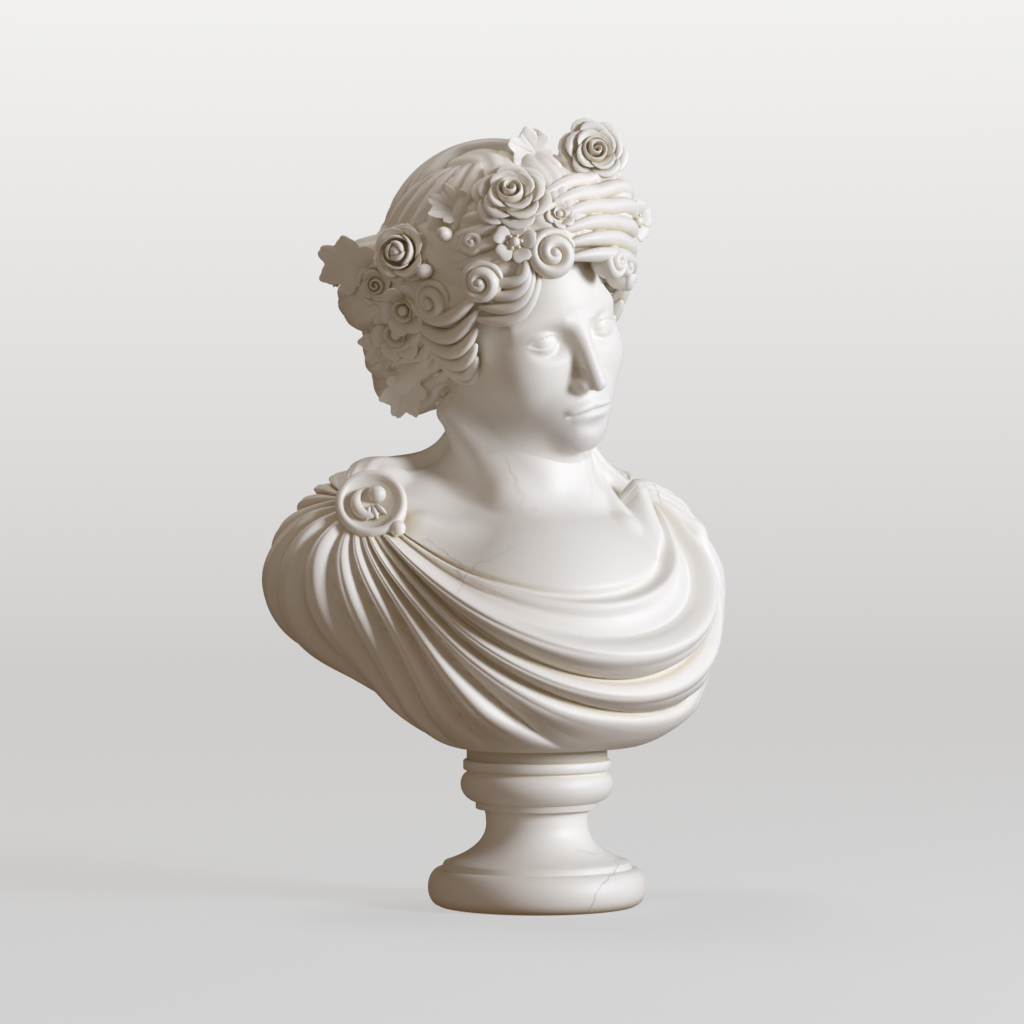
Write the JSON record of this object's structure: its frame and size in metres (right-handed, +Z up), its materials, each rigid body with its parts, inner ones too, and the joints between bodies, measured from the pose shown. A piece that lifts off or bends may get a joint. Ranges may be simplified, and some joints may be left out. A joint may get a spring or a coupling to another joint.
{
  "type": "marble bust on a socle",
  "caption": "Carved classical marble bust with a flower wreath, draped chest and round brooch, resting on a turned socle for display.",
  "frame": {"origin": "centre of the socle's flat round underside", "axes": "+Z up through the socle's axis, -Y the way the chest faces, +X towards the figure's own left hand"},
  "size_m": [0.4202, 0.2746, 0.6888],
  "materials": {
    "marble": "honed ivory-white marble with thin broken grey veins"
  },
  "bodies": {
    "root": {"socle": "marble", "bust": "marble"}
  },
  "joints": []
}
